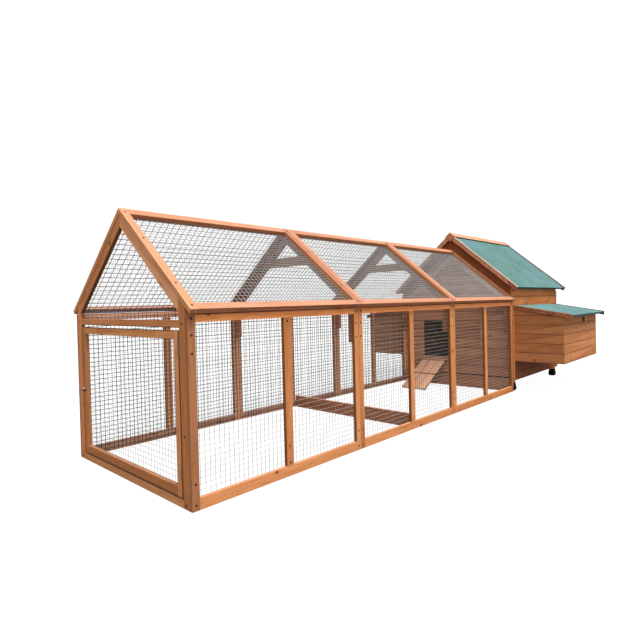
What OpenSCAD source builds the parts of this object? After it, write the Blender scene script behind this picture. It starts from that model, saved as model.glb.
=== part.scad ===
// Long timber run with a pitched wire roof, joined to a raised sleeping house
// with a nest box on each side. Millimetres, +Z up, ground at Z = 0, the run's
// door faces -Y and the house stands at the +Y end. Inside the modules Y counts
// from the run's front face; here() moves everything to the shared origin, which
// lies on the ground below the middle of the whole length.

/* [Run] */
// Outer width across the two side walls of the run
run_w = 1130; // [1100:2:1150]
// Length of one of the three bays of the run
bay_l = 1112; // [1090:2:1130]
// Height of the side wall frames
wall_h = 804; // [780:1:820]
// Height of the run's ridge above the ground
ridge_h = 1315; // [1290:1:1330]
// Slope of the run's roof in degrees
roof_a = 39.4; // [38:0.1:41]
// Horizontal reach of the run's roof from the middle to its eave
eave_x = 600; // [590:1:610]

/* [Timber] */
// Thickness of the frame timber
tim_t = 20; // [18:1:22]
// Width of the stiles at the ends of a wall panel
stile_w = 38; // [34:1:42]
// Width of the stile in the middle of a wall panel
mid_w = 46; // [40:1:50]
// Height of a wall panel's top rail
top_rail = 37; // [30:1:40]
// Height of a wall panel's bottom rail
bottom_rail = 50; // [40:1:60]
// Width of the roof panel members on the slope
roof_m = 40; // [36:1:44]
// Thickness of the roof panel members
roof_t = 22; // [16:1:24]
// Depth of the rafters under the roof panels
rafter_d = 49; // [44:1:54]

/* [Mesh] */
// Pitch of the wires that stand for the mesh here, every fourth real wire
grid_p = 101.6; // [76.2:25.4:127]
// Thickness of a mesh sheet, two crossed wires
grid_t = 1.6; // [1.2:0.2:2]

/* [Door] */
// Clear width between the front posts
gate_w = 1002; // [980:2:1010]
// Lowest edge of the door
gate_z0 = 42; // [40:1:50]
// Highest edge of the door
gate_z1 = 734; // [720:1:738]
// Width of the door's stiles
gate_stile = 40; // [36:1:46]

/* [House] */
// Length of the house along Y
house_l = 1200; // [1180:2:1220]
// Height of the house ridge
house_ridge = 1468; // [1450:1:1480]
// Slope of the house roof in degrees
house_a = 40.6; // [39:0.1:42]
// Horizontal reach of the house roof from the middle to its eave
house_eave = 627; // [615:1:635]
// Thickness of the wall boards
board_t = 12; // [10:1:14]
// Pitch of the wall boards
board_p = 85.1; // [80:0.1:90]
// Height of the floor panel's upper face
floor_z = 240; // [230:1:245]
// Width of the pop hole
pop_w = 297; // [280:1:320]
// Full height of the pop hole
pop_h = 362; // [340:1:370]

/* [Nest boxes] */
// Distance of a nest box's outer face from the middle
nest_x = 978; // [960:1:990]
// Height of a nest box's underside
nest_z = 266; // [260:1:275]
// Length of a nest box
nest_l = 1000; // [960:2:1010]

/* [Hidden] */
$fn = 40;

run_l = 3 * bay_l;                 // length of the run
hw = run_w / 2;                    // outer face of the side walls
inn = hw - tim_t;                  // inner face of the side wall frames
hy0 = run_l + 4;                   // front face of the house
hy1 = hy0 + house_l;               // rear face of the house
ry0 = hy0 - 40;                    // front edge of the house roof
ry1 = hy1 + 110;                   // rear edge of the house roof
y_front = -14;                     // foremost point, on the door's turn knob
y_mid = (y_front + ry1) / 2;
post_x = gate_w / 2;               // inner face of the front posts
roof_s = eave_x / cos(roof_a);     // length of the run roof's slope
house_s = house_eave / cos(house_a);
zj = 0.5;                          // half the joint between two panels

wood = [0.74, 0.46, 0.27];
wood_top = [0.93, 0.70, 0.52];
plank = [0.78, 0.50, 0.29];
teal = [0.45, 0.67, 0.62];
wire = [0.25, 0.26, 0.27];
steel = [0.70, 0.71, 0.72];
brass_c = [0.72, 0.60, 0.30];
black = [0.06, 0.06, 0.06];
inside = [0.80, 0.60, 0.40];

// ---- helpers ----
module here() { translate([0, -y_mid, 0]) children(); }
module both() { children(); mirror([1, 0, 0]) children(); }
module bx(x0, x1, y0, y1, z0, z1) { translate([x0, y0, z0]) cube([x1 - x0, y1 - y0, z1 - z0]); }
// an outline in X and Z, extruded along Y from y0 to y1
module xz(pts, y0, y1) { translate([0, y1, 0]) rotate([90, 0, 0]) linear_extrude(y1 - y0) polygon(pts); }
// an outline in Y and Z, extruded along X from x0 to x1
module yz(pts, x0, x1) { translate([x0, 0, 0]) rotate([90, 0, 90]) linear_extrude(x1 - x0) polygon(pts); }
// a point s down a slope from the ridge and q below its upper face
function sp(zr, a, s, q) = [s * cos(a) - q * sin(a), zr - s * sin(a) - q * cos(a)];
// the distance down a slope at which depth q meets the plane X = x
function sx(a, x, q) = (x + q * sin(a)) / cos(a);
// a stick on a slope from plumb cut x0 to square end s1, between depths q0 and q1
function plumb(zr, a, x0, s1, q0, q1) =
  [sp(zr, a, sx(a, x0, q0), q0), sp(zr, a, s1, q0), sp(zr, a, s1, q1), sp(zr, a, sx(a, x0, q1), q1)];
// the same with plumb cuts at both ends
function plumb2(zr, a, x0, x1, q0, q1) =
  [sp(zr, a, sx(a, x0, q0), q0), sp(zr, a, sx(a, x1, q0), q0), sp(zr, a, sx(a, x1, q1), q1), sp(zr, a, sx(a, x0, q1), q1)];
// height of depth q of a slope at the plane X = x
function zat(zr, a, x, q) = zr - x * tan(a) - q / cos(a);
// a flat grid of wires in a w by h rectangle
module grid2(w, h, p, d) {
  nx = max(1, round(w / p));
  ny = max(1, round(h / p));
  for (i = [0:nx]) translate([i * (w - d) / nx, 0]) square([d, h]);
  for (j = [0:ny]) translate([0, j * (h - d) / ny]) square([w, d]);
}
// V grooves between wall boards, along Y on the face X = x, or along X on the face Y = y
module grooves_x(x, side, y0, y1, z0, p, n) {
  for (k = [0:n - 1]) let (z = z0 + k * p)
    yv([[x + side, z - 2.6], [x + side, z + 2.6], [x - side * 2.4, z]], y0 - 1, y1 + 1);
}
module grooves_y(y, side, x0, x1, z0, p, n) {
  for (k = [0:n - 1]) let (z = z0 + k * p)
    yz([[y + side, z - 2.6], [y + side, z + 2.6], [y - side * 2.4, z]], x0 - 1, x1 + 1);
}
module yv(pts, y0, y1) { xz(pts, y0, y1); }

// ---- run: side walls ----
function bay0(b) = b * bay_l + (b == 0 ? 0 : zj);
function bay1(b) = (b + 1) * bay_l - (b == 2 ? 0 : zj);
module wall_stiles() color(wood) here() both() for (b = [0:2]) {
  bx(inn, hw, bay0(b), bay0(b) + stile_w, 0, wall_h);
  bx(inn, hw, bay1(b) - stile_w, bay1(b), 0, wall_h);
  bx(inn, hw, (b + 0.5) * bay_l - mid_w / 2, (b + 0.5) * bay_l + mid_w / 2, bottom_rail, wall_h - top_rail);
}
module wall_rails() color(wood) here() both() for (b = [0:2]) {
  bx(inn, hw, bay0(b) + stile_w, bay1(b) - stile_w, 0, bottom_rail);
  bx(inn, hw, bay0(b) + stile_w, bay1(b) - stile_w, wall_h - top_rail, wall_h);
}
// sheets are stapled to the inner faces of the frames
function sheet0(b) = b == 0 ? tim_t + grid_t + 1 : bay0(b) + 6;
function sheet1(b) = b == 2 ? run_l - tim_t - 1 : bay1(b) - 6;
module wall_meshes() color(wire) here() both() for (b = [0:2])
  translate([inn - grid_t, sheet0(b), 8]) rotate([90, 0, 90]) linear_extrude(grid_t)
    grid2(sheet1(b) - sheet0(b), wall_h - 16, grid_p, grid_t);

// ---- run: roof panels ----
function rb0(b) = b == 0 ? -4 : bay0(b);
module run_roof_bars() color(wood_top) here() both() for (b = [0:2]) {
  xz(plumb(ridge_h, roof_a, zj, roof_s, 0, roof_t), rb0(b), rb0(b) + roof_m);
  xz(plumb(ridge_h, roof_a, zj, roof_s, 0, roof_t), bay1(b) - roof_m, bay1(b));
}
module run_roof_rails() color(wood_top) here() both() for (b = [0:2]) {
  xz(plumb(ridge_h, roof_a, zj, roof_m + 8, 0, roof_t), rb0(b) + roof_m, bay1(b) - roof_m);
  xz([sp(ridge_h, roof_a, roof_s - roof_m, 0), sp(ridge_h, roof_a, roof_s, 0),
      sp(ridge_h, roof_a, roof_s, roof_t), sp(ridge_h, roof_a, roof_s - roof_m, roof_t)],
     rb0(b) + roof_m, bay1(b) - roof_m);
}
module run_roof_meshes() color(wire) here() both() for (b = [0:2])
  translate([0, sheet0(b), ridge_h]) rotate([0, roof_a, 0]) translate([20, 0, -roof_t - grid_t])
    linear_extrude(grid_t) grid2(roof_s - 30, sheet1(b) - sheet0(b), grid_p, grid_t);

// ---- run: front end ----
module front_posts() color(wood) here() both()
  xz([[post_x, 0], [inn, 0], [inn, zat(ridge_h, roof_a, inn, roof_t)], [post_x, zat(ridge_h, roof_a, post_x, roof_t)]], 0, tim_t);
module front_rails() color(wood) here() {
  bx(-post_x, post_x, 0, tim_t, 0, gate_z0 - 4);
  bx(-post_x, post_x, 0, tim_t, 746, 778);
}
module gable_rafters() color(wood) here() both()
  xz(plumb2(ridge_h, roof_a, zj, post_x, roof_t, roof_t + rafter_d), 0, tim_t);
module gable_mesh() color(wire) here() translate([0, tim_t + grid_t, 0]) rotate([90, 0, 0]) linear_extrude(grid_t)
  intersection() {
    translate([-520, 752]) grid2(1040, 560, grid_p, grid_t);
    polygon([[-520, 752], [520, 752], [520, zat(ridge_h, roof_a, 520, roof_t + 14)],
             [0, zat(ridge_h, roof_a, 0, roof_t + 14)], [-520, zat(ridge_h, roof_a, 520, roof_t + 14)]]);
  }

// ---- run: door, hung on the right post ----
gx = post_x - 4;
hinge_z = [155, 665];
pin_x = post_x - 2;
pin_y = -3.6;
module run_door_stiles() color(wood) here() difference() {
  both() bx(gx - gate_stile, gx, 0, tim_t, gate_z0, gate_z1);
  translate([latch_x, -1, latch_z]) rotate([-90, 0, 0]) cylinder(r = 3.05, h = tim_t + 2);
}
module run_door_rails() color(wood) here() {
  bx(-gx + gate_stile, gx - gate_stile, 0, tim_t, gate_z0, gate_z0 + 42);
  bx(-gx + gate_stile, gx - gate_stile, 0, tim_t, gate_z1 - 36, gate_z1);
}
module run_door_mesh() color(wire) here() translate([-gx + 12, tim_t + grid_t, gate_z0 + 12]) rotate([90, 0, 0])
  linear_extrude(grid_t) grid2(2 * gx - 24, gate_z1 - gate_z0 - 24, grid_p, grid_t);
// a butt hinge's knuckles on a vertical pin; the middle third turns with the door
module run_door_hinge_leaves() color(steel) here() for (z = hinge_z) difference() {
  union() {
    translate([pin_x, pin_y, z - 11.5]) cylinder(r = 3.2, h = 23);
    bx(gx, gx + 1.3, pin_y, 17, z - 11.5, z + 11.5);
    bx(gx, gx + 1.3, 0.4, 17, z - 35, z + 35);
  }
  translate([pin_x, pin_y, z - 13]) cylinder(r = 1.55, h = 26);
}
module door_fixed_leaf(z) {
  for (s = [-1, 1]) translate([0, 0, z + s * 23.5]) {
    translate([pin_x, pin_y, -11.5]) cylinder(r = 3.2, h = 23);
    bx(post_x - 1.3, post_x, pin_y, 17, -11.5, 11.5);
  }
  bx(post_x - 1.3, post_x, 0.4, 17, z - 35, z + 35);
  translate([pin_x, pin_y, z - 36]) cylinder(r = 1.5, h = 72);
}
// turn knob on the door's left stile: a spindle through the stile carries a cam inside the run, which
// turns in behind the post; here the cam hangs down, clear of the post
latch_x = -gx + 19;
latch_z = 392;
latch_a = 32;
module run_door_latch() color(steel) here() translate([latch_x, 0, latch_z]) rotate([90, 0, 0]) {
  translate([0, 0, 0.5]) cylinder(r = 12, h = 4.5);
  translate([0, 0, 4.9]) rotate([0, 0, latch_a]) {
    translate([-13, -4.5, 0]) cube([26, 9, 9.1]);
    for (x = [-13, 13]) translate([x, 0, 0]) cylinder(r = 4.5, h = 9.1);
  }
  translate([0, 0, -27]) cylinder(r = 3, h = 28);
  translate([0, 0, -27]) cylinder(r = 7.5, h = 2.6);
  translate([-6, -38, -27]) cube([12, 38, 2.6]);
}

// ---- run: trusses, boards on the ground ----
tq0 = roof_t + grid_t;
truss_y = [bay_l - 10, 2 * bay_l - 10, run_l - tim_t];
leg_x = 498;
leg_out = inn - grid_t;
module truss_rafters() color(wood) here() for (y = truss_y) both()
  xz(plumb2(ridge_h, roof_a, zj, leg_x, tq0, tq0 + 50), y, y + tim_t);
function under(z) = (ridge_h - (tq0 + 50) / cos(roof_a) - z) / tan(roof_a);
module truss_collars() color(wood) here() for (y = truss_y)
  xz([[-under(1072), 1072], [under(1072), 1072], [under(1130), 1130], [-under(1130), 1130]], y, y + tim_t);
module truss_legs() color(wood) here() for (i = [0:2]) both()
  xz([[leg_x, i == 2 ? 525 : 605], [leg_out, i == 2 ? 525 : 605],
      [leg_out, zat(ridge_h, roof_a, leg_out, tq0)], [leg_x, zat(ridge_h, roof_a, leg_x, tq0)]], truss_y[i], truss_y[i] + tim_t);
module cross_boards() color(wood) here() {
  bx(-leg_out, leg_out, 1692, 1692 + tim_t, 0, 90);
  bx(-leg_out, leg_out, run_l - tim_t, run_l, 0, 112);
  bx(-hw + board_t, hw - board_t, hy0, hy0 + board_t, 124, 200);
}

// ---- house: carcase ----
p0 = hy0 + board_t + 16;           // front posts of the house
p1 = hy1 - board_t - 61;
pw = 45;
px1 = hw - board_t;
px0 = px1 - pw;
module post_at(y) { bx(px0, px1, y, y + pw, 5, 905); }
module house_posts() color(inside) here() both() { post_at(p0); post_at(p1); }
module foot_cap(y) translate([px0 + pw / 2, y + pw / 2, 0]) difference() {
  union() {
    translate([-29, -29, 0]) cube([58, 58, 40]);
    translate([-26, -26, 40]) cube([52, 52, 22]);
  }
  translate([-pw / 2, -pw / 2, 5]) cube([pw, pw, 60]);
}
module foot_caps() color(black) here() both() { foot_cap(p0); foot_cap(p1); }
module floor_rails() color(inside) here() {
  both() bx(px0 + 5, px1 - 10, p0 + pw, p1, 196, 226);
  bx(-px0, px0, p0, p0 + 30, 196, 226);
  bx(-px0, px0, p1 + pw - 30, p1 + pw, 196, 226);
}
module house_floor() color(inside) here() difference() {
  bx(-px1, px1, hy0 + board_t, hy1 - board_t, 226, floor_z);
  both() for (y = [p0, p1]) bx(px0 - 0.2, px1 + 1, y - 0.2, y + pw + 0.2, 220, 250);
}
wall_q = 16;                       // depth of the walls' top edges below the roof's upper face
pop_x1 = -35;
pop_x0 = pop_x1 - pop_w;
pop_z0 = 265;
module gable(y0, y1, z0) xz([[-px1, z0], [px1, z0], [px1, zat(house_ridge, house_a, px1, wall_q)],
  [0, zat(house_ridge, house_a, 0, wall_q)], [-px1, zat(house_ridge, house_a, px1, wall_q)]], y0, y1);
front_p = 86.4;                    // pitch of the boards on the front wall
module front_wall() color(plank) here() {
  difference() {
    gable(hy0, hy0 + board_t, 208);
    bx(pop_x0, pop_x1, hy0 - 1, hy0 + board_t + 1, pop_z0, pop_z0 + pop_h - 103);
    bx(pop_x0, pop_x0 + 220, hy0 - 1, hy0 + board_t + 1, pop_z0, pop_z0 + pop_h);
    grooves_y(hy0, -1, -px1, px1, 284, front_p, 13);
    bx(20, 262, hy0 - 1, hy0 + 3, 580, 585);
  }
  bx(264, 282, hy0 - 5, hy0, 210, 770);
}
tray_x = 500;
module rear_wall() color(plank) here() difference() {
  gable(hy1 - board_t, hy1, 95);
  bx(-tray_x - 4, tray_x + 4, hy1 - board_t - 1, hy1 + 1, floor_z - 1, floor_z + 55);
  grooves_y(hy1, 1, -px1, px1, 166, board_p, 15);
}
nest_c = hy0 + 528;                // middle of the nest boxes
ny0 = nest_c - nest_l / 2;
ny1 = nest_c + nest_l / 2;
hole_z0 = 292;
hole_z1 = 560;
module side_walls() color(plank) here() both() difference() {
  bx(px1, hw, hy0, hy1, 92, zat(house_ridge, house_a, hw, wall_q));
  bx(px1 - 1, hw + 1, ny0 + 60, ny1 - 60, hole_z0, hole_z1);
  grooves_x(hw, 1, hy0, hy1, 166, board_p, 9);
}
module corner_boards() color(wood) here() both() {
  bx(hw, hw + 6, hy0, ny0 - 2, 92, 896);
  bx(hw, hw + 6, hy1 - 28, hy1, 92, 896);
}
module house_roof_frame() color(inside) here() {
  both() for (y = [hy0 + board_t, hy1 - board_t - tim_t])
    xz(plumb2(house_ridge, house_a, 10.3, px1, 14.05, 54), y, y + tim_t);
  bx(-10, 10, hy0 + board_t, hy1 - board_t, house_ridge - 76, zat(house_ridge, house_a, 10, 14.05));
}

// ---- house: roof ----
fas_t = 16;
module roof_decks() color(inside) here() both()
  xz(plumb(house_ridge, house_a, zj, house_s, 2, 14), ry0 + fas_t, ry1 - fas_t);
module roof_felts() color(teal) here() both() {
  xz(plumb(house_ridge, house_a, zj, house_s + 2, 0, 2), ry0 + fas_t, ry1 - fas_t);
  xz([sp(house_ridge, house_a, house_s, 1.9), sp(house_ridge, house_a, house_s + 2, 1.9),
      sp(house_ridge, house_a, house_s + 2, 18), sp(house_ridge, house_a, house_s, 18)], ry0 + fas_t, ry1 - fas_t);
}
blk = 56;
module rake_fascias() color(wood) here() for (y = [ry0, ry1 - fas_t]) {
  both() xz([sp(house_ridge, house_a, blk + 3, -3), sp(house_ridge, house_a, house_s + 3, -3),
             sp(house_ridge, house_a, house_s + 3, 36), sp(house_ridge, house_a, blk + 3, 36)], y, y + fas_t);
  xz([[0, house_ridge], [blk * cos(house_a), house_ridge - blk * sin(house_a)], [0, house_ridge - 2 * blk * sin(house_a)],
      [-blk * cos(house_a), house_ridge - blk * sin(house_a)]], y, y + fas_t);
}
module ridge_caps() color(wood_top) here() both()
  xz(plumb(house_ridge, house_a, zj, 58, -11, 0), ry0, ry1);
// ---- nest boxes ----
lid_a = 10.15;                     // slope of the lids
lid_x0 = hw + 8;                   // inner edge of the lids
lid_x1 = 1048;                     // outer edge of the lids
lid_zw = 769;                      // height of the lid plane at the wall
lid_y0 = ny0 - 18;
lid_y1 = ny1 + 18;
function lz(x, q) = lid_zw - (x - hw) * tan(lid_a) - q / cos(lid_a);
module nest_ends() color(plank) here() both() for (y = [ny0, ny1 - board_t]) difference() {
  xz([[hw, nest_z], [nest_x - board_t, nest_z], [nest_x - board_t, lz(nest_x - board_t, 15)], [hw, lz(hw, 15)]], y, y + board_t);
  if (y == ny0) grooves_y(ny0, -1, hw, nest_x, nest_z + 82, 82, 6);
  else grooves_y(ny1, 1, hw, nest_x, nest_z + 82, 82, 6);
}
module nest_outer_walls() color(plank) here() both() difference() {
  xz([[nest_x - board_t, nest_z], [nest_x, nest_z], [nest_x, lz(nest_x, 15)], [nest_x - board_t, lz(nest_x - board_t, 15)]], ny0, ny1);
  grooves_x(nest_x, 1, ny0, ny1, nest_z + 82, 82, 4);
}
module nest_floors() color(inside) here() both() bx(hw, nest_x - board_t, ny0 + board_t, ny1 - board_t, nest_z, nest_z + board_t);
module nest_dividers() color(inside) here() both() for (k = [1, 2]) let (y = ny0 + k * nest_l / 3)
  xz([[hw + 1, nest_z + board_t], [nest_x - board_t, nest_z + board_t], [nest_x - board_t, 600], [hw + 1, 660]], y - 5, y + 5);

// ---- nest lids, each hinged on the wall ----
function lpt(x, q) = [x, lz(x, q)];
module lid_deck() xz([lpt(lid_x0, 2), lpt(lid_x1 - 4, 2), lpt(lid_x1 - 4, 14), lpt(lid_x0, 14)], lid_y0 + 15, lid_y1 - 15);
module lid_felt() xz([lpt(lid_x0, 0), lpt(lid_x1, 0), lpt(lid_x1, 18), lpt(lid_x1 - 4, 18), lpt(lid_x1 - 4, 2), lpt(lid_x0, 2)], lid_y0 + 15, lid_y1 - 15);
module lid_fascias() for (y = [lid_y0, lid_y1 - 15])
  xz([lpt(lid_x0, -3), lpt(lid_x1, -3), lpt(lid_x1, 33), lpt(lid_x0, 33)], y, y + 15);
lh_x = hw + 6.5;                   // hinge pin of the lids
lh_z = lid_zw + 2.6;
lh_y = [hy0 + 355, hy0 + 930];
lh_w = 45;                         // half the length of a lid hinge
module lid_leaves() for (y = lh_y) difference() {
  union() {
    translate([lh_x, y + 15, lh_z]) rotate([90, 0, 0]) cylinder(r = 3, h = 30);
    xz([lpt(lh_x, -0.05), lpt(lh_x + 34, -0.05), lpt(lh_x + 34, -1.4), lpt(lh_x, -1.4)], y - lh_w, y + lh_w);
  }
  translate([lh_x, y + 16, lh_z]) rotate([90, 0, 0]) cylinder(r = 1.55, h = 32);
  for (s = [-1, 1]) bx(lh_x - 4, lh_x + 3.6, y + s * 31 - 15.6, y + s * 31 + 15.6, lh_z - 3.6, lh_z + 4);
}
module wall_leaf(y) {
  for (s = [-1, 1]) {
    translate([lh_x, y + s * 30.2 + 14.8, lh_z]) rotate([90, 0, 0]) cylinder(r = 3, h = 29.6);
    bx(hw, lh_x, y + s * 30.2 - 14.8, y + s * 30.2 + 14.8, lh_z + 1.2, lh_z + 2.6);
  }
  bx(hw, hw + 1.4, y - lh_w, y + lh_w, lh_z + 1.2, lh_z + 34);
  translate([lh_x, y + lh_w, lh_z]) rotate([90, 0, 0]) cylinder(r = 1.5, h = 2 * lh_w);
}
module right_lid_deck() color(inside) here() lid_deck();
module right_lid_felt() color(teal) here() lid_felt();
module right_lid_fascias() color(wood) here() lid_fascias();
module right_lid_hinge_leaves() color(brass_c) here() lid_leaves();
module left_lid_deck() color(inside) here() mirror([1, 0, 0]) lid_deck();
module left_lid_felt() color(teal) here() mirror([1, 0, 0]) lid_felt();
module left_lid_fascias() color(wood) here() mirror([1, 0, 0]) lid_fascias();
module left_lid_hinge_leaves() color(brass_c) here() mirror([1, 0, 0]) lid_leaves();
module lid_hinge_wall_leaves() color(brass_c) here() both() for (y = lh_y) wall_leaf(y);

// ---- hasps: a strap hangs from the lid just in front of a staple on the nest box;
// pushed in, the staple stands through the strap's slot ----
hs_y = nest_c + 67;
hs_x = nest_x + 14;                // swing axis
hs_z = lz(hs_x, 14) - 5;
module strap() difference() {
  union() {
    translate([hs_x, hs_y + 11, hs_z]) rotate([90, 0, 0]) cylinder(r = 3, h = 22);
    bx(hs_x - 0.8, hs_x + 0.8, hs_y - 17, hs_y + 17, hs_z - 78, hs_z - 3.4);
    bx(hs_x - 0.8, hs_x + 0.8, hs_y - 11, hs_y + 11, hs_z - 4, hs_z - 2);
  }
  translate([hs_x, hs_y + 12, hs_z]) rotate([90, 0, 0]) cylinder(r = 1.6, h = 24);
  bx(hs_x - 4, hs_x + 4, hs_y - 5, hs_y + 5, hs_z - 66, hs_z - 34);
}
// the strap's leaf under the lid, with its pin
module strap_leaf() {
  for (s = [-1, 1]) {
    translate([hs_x, hs_y + s * 14.2 + 2.7, hs_z]) rotate([90, 0, 0]) cylinder(r = 3, h = 5.4);
    xz([[hs_x - 1.2, hs_z + 1.6], [hs_x + 1.2, hs_z + 1.6], lpt(hs_x + 1.2, 14.05), lpt(hs_x - 1.2, 14.05)],
       hs_y + s * 14.2 - 2.7, hs_y + s * 14.2 + 2.7);
  }
  translate([hs_x, hs_y + 16.9, hs_z]) rotate([90, 0, 0]) cylinder(r = 1.5, h = 33.8);
  xz([lpt(hs_x - 3, 14.05), lpt(hs_x + 38, 14.05), lpt(hs_x + 38, 15.4), lpt(hs_x - 3, 15.4)], hs_y - 16.9, hs_y + 16.9);
}
module right_hasp() color(steel) here() strap();
module left_hasp() color(steel) here() mirror([1, 0, 0]) strap();
module right_hasp_hinge() color(steel) here() strap_leaf();
module left_hasp_hinge() color(steel) here() mirror([1, 0, 0]) strap_leaf();
// staple fixed to the nest box
module hasp_staples() color(steel) here() both() {
  bx(nest_x, nest_x + 1.4, hs_y - 12, hs_y + 12, hs_z - 68, hs_z - 34);
  bx(nest_x + 1.4, nest_x + 12, hs_y - 2.5, hs_y + 2.5, hs_z - 54, hs_z - 46);
}

// ---- pop hole, ramp ----
ramp_w = 250;
ramp_c = -188;
sill_y = hy0 - 22;
module pop_hole_sill() color(wood_top) here() bx(ramp_c - ramp_w / 2, ramp_c + ramp_w / 2, sill_y, hy0, 240, pop_z0 - 1);
ramp_a = 29.3;                     // slope of the ramp at rest
ramp_l = 486;
rh_y = sill_y - 6;                 // hinge pin of the ramp
rh_z = 254;
// the ramp's own frame: X across, U down the slope from the pin, W up from the boards
module on_ramp() translate([ramp_c, rh_y, rh_z]) rotate([ramp_a, 0, 0]) mirror([0, 1, 0]) children();
module ramp_boards() color(wood_top) here() on_ramp() for (k = [-1:1])
  bx(k * ramp_w / 3 - ramp_w / 6 + 0.8, k * ramp_w / 3 + ramp_w / 6 - 0.8, 5, ramp_l, -8, 3);
module ramp_cleats() color(wood) here() on_ramp() {
  for (u = [17, 242]) bx(-ramp_w / 2, ramp_w / 2, u, u + 20, 3, 11);
  for (u = [120, 400]) bx(-ramp_w / 2 + 14, ramp_w / 2 - 14, u, u + 24, -17, -8);
}
module ramp_hinge_leaves() color(steel) here() on_ramp() for (x = [-85, 85]) difference() {
  union() {
    translate([x - 11, 0, 0]) rotate([0, 90, 0]) cylinder(r = 3, h = 22);
    bx(x - 11, x + 11, 0, 5, -9.6, -1);
    bx(x - 11, x + 11, 3, 42, -9.6, -8);
  }
  translate([x - 12, 0, 0]) rotate([0, 90, 0]) cylinder(r = 1.55, h = 24);
}
module ramp_fixed_leaf(x) translate([ramp_c + x, 0, 0]) {
  for (s = [-1, 1]) {
    translate([s * 20 - 8, rh_y, rh_z]) rotate([0, 90, 0]) cylinder(r = 3, h = 16);
    bx(s * 20 - 8, s * 20 + 8, rh_y, sill_y, rh_z - 1, rh_z + 1);
  }
  translate([-28, rh_y, rh_z]) rotate([0, 90, 0]) cylinder(r = 1.5, h = 56);
  bx(-28, 28, sill_y - 1.2, sill_y, rh_z - 12, rh_z + 8);
}
module fixed_hinge_leaves() color(steel) here() {
  for (z = hinge_z) door_fixed_leaf(z);
  for (x = [-85, 85]) ramp_fixed_leaf(x);
}

// ---- inside the house ----
pd_y = hy0 + board_t + 2;
pd_open = 322;                     // the panel stands clear of the hole
module pop_door_panel() color(inside) here() bx(pop_x0 - 6 + pd_open, pop_x1 + 6 + pd_open, pd_y, pd_y + 9, 254, 650);
module pop_door_guides() color(wood) here() {
  bx(pop_x0 - 12, pop_x1 + pd_open + 14, hy0 + board_t, pd_y + 9, floor_z, 253.5);
  bx(pop_x0 - 12, pop_x1 + pd_open + 14, hy0 + board_t, pd_y + 9, 650.5, 664);
  bx(pop_x0 - 12, pop_x1 + pd_open + 14, pd_y + 9.5, pd_y + 15, floor_z, 266);
  bx(pop_x0 - 12, pop_x1 + pd_open + 14, pd_y + 9.5, pd_y + 15, 640, 664);
}
module perches() color(inside) here() for (y = [hy0 + 420, hy0 + 820])
  translate([-px1, y, 620]) rotate([0, 90, 0]) cylinder(r = 16, h = 2 * px1);
ty0 = hy0 + 70;
module droppings_tray() color(steel) here() {
  difference() {
    bx(-tray_x + 15, tray_x - 15, ty0, hy1 - 1, floor_z + 0.6, floor_z + 30);
    bx(-tray_x + 16.2, tray_x - 16.2, ty0 + 1.2, hy1 - 2.2, floor_z + 1.8, floor_z + 40);
  }
  bx(-tray_x, tray_x, hy1 - 1, hy1 + 1, floor_z + 0.6, floor_z + 52);
}

// ---- fasteners ----
// a countersunk screw head on an upright face, its axis along X or Y
module head_x(x, s, y, z) translate([x - (s > 0 ? 0 : 0.6), y, z]) rotate([0, 90, 0]) cylinder(r = 3.4, h = 0.6);
module head_y(y, x, z) translate([x, y, z]) rotate([90, 0, 0]) cylinder(r = 3.4, h = 0.6);
module screws() color(steel) here() {
  both() {
    for (b = [0:2]) for (y = [bay0(b) + stile_w / 2, bay1(b) - stile_w / 2]) for (z = [24, 110, 640, 716, 784]) head_x(hw, 1, y, z);
    for (b = [0:2]) for (z = [66, wall_h - top_rail - 16]) head_x(hw, 1, (b + 0.5) * bay_l, z);
    for (b = [0:2]) for (y = [rb0(b) + roof_m / 2, bay1(b) - roof_m / 2]) for (s = [34, 260, 600, roof_s - 26])
      translate([0, y, ridge_h]) rotate([0, roof_a, 0]) translate([s, 0, 0]) cylinder(r = 3.4, h = 0.6);
    for (z = [18, 300, 762]) head_y(0, (post_x + inn) / 2, z);
  }
}

wall_stiles();
wall_rails();
wall_meshes();
run_roof_bars();
run_roof_rails();
run_roof_meshes();
front_posts();
front_rails();
gable_rafters();
gable_mesh();
run_door_stiles();
run_door_rails();
run_door_mesh();
run_door_hinge_leaves();
run_door_latch();
truss_rafters();
truss_collars();
truss_legs();
cross_boards();
house_posts();
foot_caps();
floor_rails();
house_floor();
front_wall();
side_walls();
rear_wall();
corner_boards();
house_roof_frame();
roof_decks();
roof_felts();
rake_fascias();
ridge_caps();
nest_ends();
nest_outer_walls();
nest_floors();
nest_dividers();
right_lid_deck();
right_lid_felt();
right_lid_fascias();
right_lid_hinge_leaves();
left_lid_deck();
left_lid_felt();
left_lid_fascias();
left_lid_hinge_leaves();
lid_hinge_wall_leaves();
right_hasp();
left_hasp();
right_hasp_hinge();
left_hasp_hinge();
hasp_staples();
fixed_hinge_leaves();
ramp_boards();
ramp_cleats();
ramp_hinge_leaves();
pop_hole_sill();
pop_door_panel();
pop_door_guides();
perches();
droppings_tray();
screws();
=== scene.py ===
# Long timber run with a pitched mesh roof and a raised sleeping house: its looks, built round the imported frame.
import bpy, bmesh, math, random
from mathutils import Vector, Matrix, Quaternion


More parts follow.
